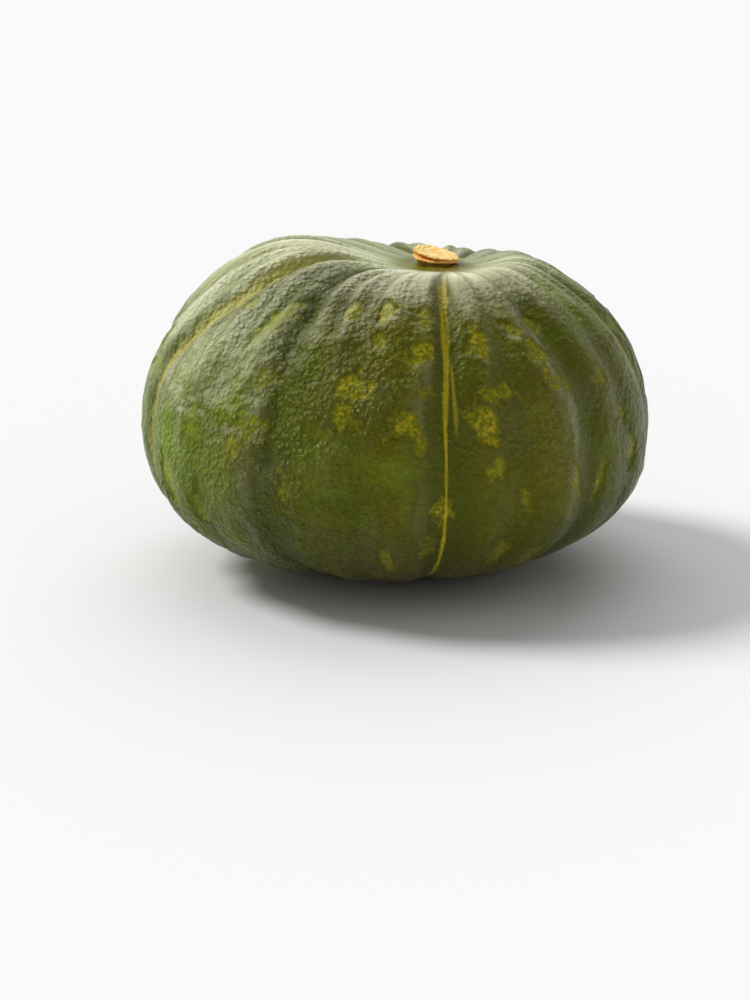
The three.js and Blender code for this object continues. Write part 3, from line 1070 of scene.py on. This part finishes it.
class PUMPKIN_OT_add_stem(bpy.types.Operator):
    """Makes the corky stem stub with its split rim and sloping cut face"""

    bl_idname = "pumpkin.add_stem"
    bl_label = "Add stem"

    def execute(self, context):
        s = context.scene.pumpkin_stem
        rim = (STEM_BOX[1][0] - STEM_BOX[0][0]) / 2 / MM
        made = bmesh.new()
        points = [made.verts.new((r * MM, 0.0, z * MM)) for r, z in stem_profile(rim)]
        for first, second in zip(points, points[1:]):
            made.edges.new((first, second))
        bmesh.ops.subdivide_edges(made, edges=made.edges[:], cuts=1)
        bmesh.ops.spin(
            made, geom=made.verts[:] + made.edges[:], cent=(0, 0, 0), axis=(0, 0, 1), dvec=(0, 0, 0),
            angle=math.tau, steps=s.turns, use_merge=True, use_duplicate=False,
        )
        bmesh.ops.remove_doubles(made, verts=made.verts[:], dist=1e-6)
        bmesh.ops.recalc_face_normals(made, faces=made.faces[:])
        mesh = bpy.data.meshes.new("stem")
        made.to_mesh(mesh)
        made.free()
        places = np.empty(len(mesh.vertices) * 3)
        mesh.vertices.foreach_get("co", places)
        places = places.reshape(-1, 3)
        plain = places.copy()
        crack = self.shape(s, places, rim)
        middle = (STEM_BOX[0] + STEM_BOX[1]) / 2
        places += (middle[0], middle[1], STEM_BOX[0][2])
        mesh.vertices.foreach_set("co", np.ascontiguousarray(places, dtype=np.float32).ravel())
        mesh.update()
        radius = np.hypot(plain[:, 0], plain[:, 1])
        store(mesh, "crack", crack)
        store(mesh, "face", smooth(3.9, 4.15, plain[:, 2] / MM) * smooth(rim + 0.3, rim - 0.6, radius / MM))
        # How low on the neck each point lies, read for the painted shade under the rim.
        store(mesh, "low", 1 - smooth(0.6, 2.4, plain[:, 2] / MM))
        store(mesh, "ring", radius / MM)
        mesh.polygons.foreach_set("use_smooth", np.ones(len(mesh.polygons), dtype=bool))
        stem = new_object("pumpkin_stem", mesh)
        mesh.materials.append(cork_material(s))
        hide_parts("stem")
        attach(stem, "root")
        return {"FINISHED"}

    def shape(self, s, places, rim):
        """Makes the stub oval and ragged, opens the crack along its front left and slopes the cut."""
        bearing = np.arctan2(places[:, 0], -places[:, 1])
        degrees = np.degrees(bearing)
        radius = np.hypot(places[:, 0], places[:, 1]) / MM
        level = places[:, 2] / MM
        outer = smooth(rim - 4.0, rim - 0.6, radius)
        span = np.exp(-((turn_between(degrees, -22) / 44) ** 4))
        groove = np.exp(-(((level - 3.3) / 0.38) ** 2)) * outer * span
        lip = np.exp(-(((level - 2.5) / 0.55) ** 2)) * outer * span
        ridges = 0.35 * np.cos(bearing * 5 + 0.4) + 0.18 * np.cos(bearing * 9 + 1.0)
        ragged = clouds(places, 2.6 * MM, 3, 4.0)
        chips = clouds(places, 1.1 * MM, 2, 2.2)
        push = -s.crack_depth / MM * groove + 0.3 * lip + outer * (ridges + 0.35 * ragged + 0.16 * chips)
        grow = 1 + push / np.maximum(radius, 1.0)
        uneven = 1 - 0.03 * (1 + np.sin(3 * bearing + 0.6)) - 0.02 * (1 + np.sin(5 * bearing + 2))
        top = smooth(3.2, 4.3, level)
        places[:, 0] *= grow * uneven
        places[:, 1] *= grow * uneven * STEM_OVALITY
        face = clouds(places, 3.2 * MM, 3, 7.0) * 0.32 + clouds(places, 1.2 * MM, 2, 6.1) * 0.12
        curl = 0.35 * np.exp(-((turn_between(degrees, -95) / 50) ** 2)) * smooth(rim - 4.5, rim - 0.5, radius)
        level = level + top * (face + curl)
        slope = 1 - (CUT_SLOPE_RIGHT * places[:, 0] - CUT_SLOPE_FRONT * places[:, 1]) / STEM_HEIGHT
        places[:, 2] = np.where(level > 0, level * 0.9 * slope, level) * MM
        return np.clip(groove * 1.6, 0, 1)


def cork_material(s):
    """Dry cork: a cream cut face with pores and faint rings, orange splits and a neck painted brown as shade under
    the rim.
    """
    made, tree, shader = new_material("stem_cork")
    place = tree.nodes.new("ShaderNodeTexCoord").outputs["Object"]
    crack = attribute(tree, "crack")
    face = attribute(tree, "face")
    low = attribute(tree, "low")
    ring = attribute(tree, "ring")
    mottle = mottle_group()
    patches = place_group(tree, mottle, Place=place, Scale=240.0, Detail=4.0, Warp=0.8, Low=0.35, High=0.65)
    pores = place_group(tree, mottle, Place=place, Scale=1500.0, Detail=2.0, Warp=0.2, Low=0.56, High=0.72)
    grain = place_group(tree, pebble_group(), Place=place, Scale=1300.0, Warp=0.0008, Grain=0.5)
    wobble = plus(tree, ring, times(tree, patches["Value"], 2.2))
    rings = calc(tree, "MULTIPLY_ADD", calc(tree, "SINE", times(tree, wobble, 5.2)), 0.5, 0.5)
    warm = tuple(a * 0.65 + b * 0.35 for a, b in zip(s.cut_cream, s.cork_orange))
    colour = tint(tree, patches["Mask"], s.cut_cream, warm)
    colour = tint(tree, times(tree, times(tree, rings, face), 0.10), colour, s.ring_pore_and_neck_shade_brown)
    side = without(tree, face, clamp=True)
    colour = tint(tree, times(tree, side, 0.35), colour, s.cork_orange)
    # Painted shade: the low neck under the overhanging rim is darkened.
    colour = tint(tree, times(tree, low, 0.8), colour, s.ring_pore_and_neck_shade_brown)
    colour = tint(tree, crack, colour, s.cork_orange)
    colour = tint(tree, times(tree, pores["Mask"], 0.2), colour, s.ring_pore_and_neck_shade_brown)
    join(tree, colour, shader.inputs["Base Color"])
    join(tree, ramp(tree, patches["Value"], 0.3, 0.7, 0.7, 0.92, "LINEAR"), shader.inputs["Roughness"])
    shader.inputs["Specular IOR Level"].default_value = 0.3
    height = plus(tree, grain["Height"], times(tree, rings, 0.35))
    height = calc(tree, "SUBTRACT", height, times(tree, pores["Mask"], 0.6))
    add_bump(tree, shader, height, 0.8, 0.25 * MM)
    return made


class PUMPKIN_OT_add_stage(bpy.types.Operator):
    """Makes the plain pale floor, the soft light and the camera"""

    bl_idname = "pumpkin.add_stage"
    bl_label = "Add stage"

    def execute(self, context):
        s = context.scene.pumpkin_stage
        self.add_floor(s)
        self.add_light(context, s)
        self.add_camera(context, s)
        return {"FINISHED"}

    def add_floor(self, s):
        made = bmesh.new()
        bmesh.ops.create_grid(made, x_segments=8, y_segments=8, size=14.0)
        mesh = bpy.data.meshes.new("floor")
        made.to_mesh(mesh)
        made.free()
        floor = new_object("floor", mesh)
        material, tree, shader = new_material("floor")
        place = tree.nodes.new("ShaderNodeTexCoord").outputs["Object"]
        cloud = place_group(tree, mottle_group(), Place=place, Scale=0.8, Detail=2.0, Warp=0.0, Low=0.3, High=0.7)
        paler = tuple(min(c * 1.01, 1.0) for c in s.floor_grey)
        join(tree, tint(tree, cloud["Mask"], s.floor_grey, paler), shader.inputs["Base Color"])
        shader.inputs["Roughness"].default_value = 0.9
        shader.inputs["Specular IOR Level"].default_value = 0.1
        mesh.materials.append(material)

    def add_light(self, context, s):
        world = bpy.data.worlds.new("studio")
        world.use_nodes = True
        background = world.node_tree.nodes["Background"]
        background.inputs[0].default_value = (1.0, 1.0, 1.0, 1.0)
        background.inputs[1].default_value = s.sky_strength
        context.scene.world = world
        for name, direction, strength, spread in (
            ("key", (0.95, -0.3, -1.05), s.key_strength, 20),
            ("back", (0.0, -0.9, -1.0), s.key_strength * 0.48, 60),
        ):
            lamp = bpy.data.lights.new(name, "SUN")
            lamp.energy = strength
            lamp.angle = math.radians(spread)
            light = bpy.data.objects.new(name, lamp)
            light.rotation_euler = Vector(direction).to_track_quat("-Z", "Y").to_euler()
            context.scene.collection.objects.link(light)

    def add_camera(self, context, s):
        data = bpy.data.cameras.new("camera")
        data.lens = LENS
        data.sensor_width = 36.0
        data.clip_start = 0.05
        data.clip_end = 60.0
        camera = bpy.data.objects.new("camera", data)
        context.scene.collection.objects.link(camera)
        context.scene.camera = camera
        fruit = FRUIT_BOX[0] + (FRUIT_BOX[1] - FRUIT_BOX[0]) * (0.5, 0.5, CENTRE_SHARE)
        forward = Vector((0, math.cos(s.camera_height), -math.sin(s.camera_height)))
        upward = Vector((0, math.sin(s.camera_height), math.cos(s.camera_height)))
        camera.location = Vector(fruit) - forward * s.camera_distance
        aim = Vector(fruit) - upward * AIM_LOW - Vector((AIM_LEFT, 0, 0))
        camera.rotation_euler = (aim - camera.location).to_track_quat("-Z", "Y").to_euler()
        context.scene.view_settings.view_transform = "Standard"


class PUMPKIN_PT_panel(bpy.types.Panel):
    """Lists the pieces of the pumpkin and their sizes"""

    bl_label = "Pumpkin"
    bl_idname = "PUMPKIN_PT_panel"
    bl_space_type = "VIEW_3D"
    bl_region_type = "UI"
    bl_category = "Pumpkin"

    def draw(self, context):
        scene = context.scene
        for title, operator, settings in (
            ("Fruit", "pumpkin.add_fruit", scene.pumpkin_fruit),
            ("Stem", "pumpkin.add_stem", scene.pumpkin_stem),
            ("Stage", "pumpkin.add_stage", scene.pumpkin_stage),
        ):
            box = self.layout.box()
            box.label(text=title)
            for key in settings.__annotations__:
                box.prop(settings, key)
            box.operator(operator)


CLASSES = (
    PumpkinFruitSettings,
    PumpkinStemSettings,
    PumpkinStageSettings,
    PUMPKIN_OT_add_fruit,
    PUMPKIN_OT_add_stem,
    PUMPKIN_OT_add_stage,
    PUMPKIN_PT_panel,
)


def register():
    """Registers the classes and gives every scene its settings."""
    for entry in CLASSES:
        bpy.utils.register_class(entry)
    bpy.types.Scene.pumpkin_fruit = PointerProperty(type=PumpkinFruitSettings)
    bpy.types.Scene.pumpkin_stem = PointerProperty(type=PumpkinStemSettings)
    bpy.types.Scene.pumpkin_stage = PointerProperty(type=PumpkinStageSettings)


def unregister():
    """Takes the settings and the classes away again."""
    del bpy.types.Scene.pumpkin_stage
    del bpy.types.Scene.pumpkin_stem
    del bpy.types.Scene.pumpkin_fruit
    for entry in reversed(CLASSES):
        bpy.utils.unregister_class(entry)


def main():
    """Makes the pumpkin and its stage."""
    register()
    bpy.ops.pumpkin.add_fruit()
    bpy.ops.pumpkin.add_stem()
    bpy.ops.pumpkin.add_stage()


if __name__ == "__main__":
    main()
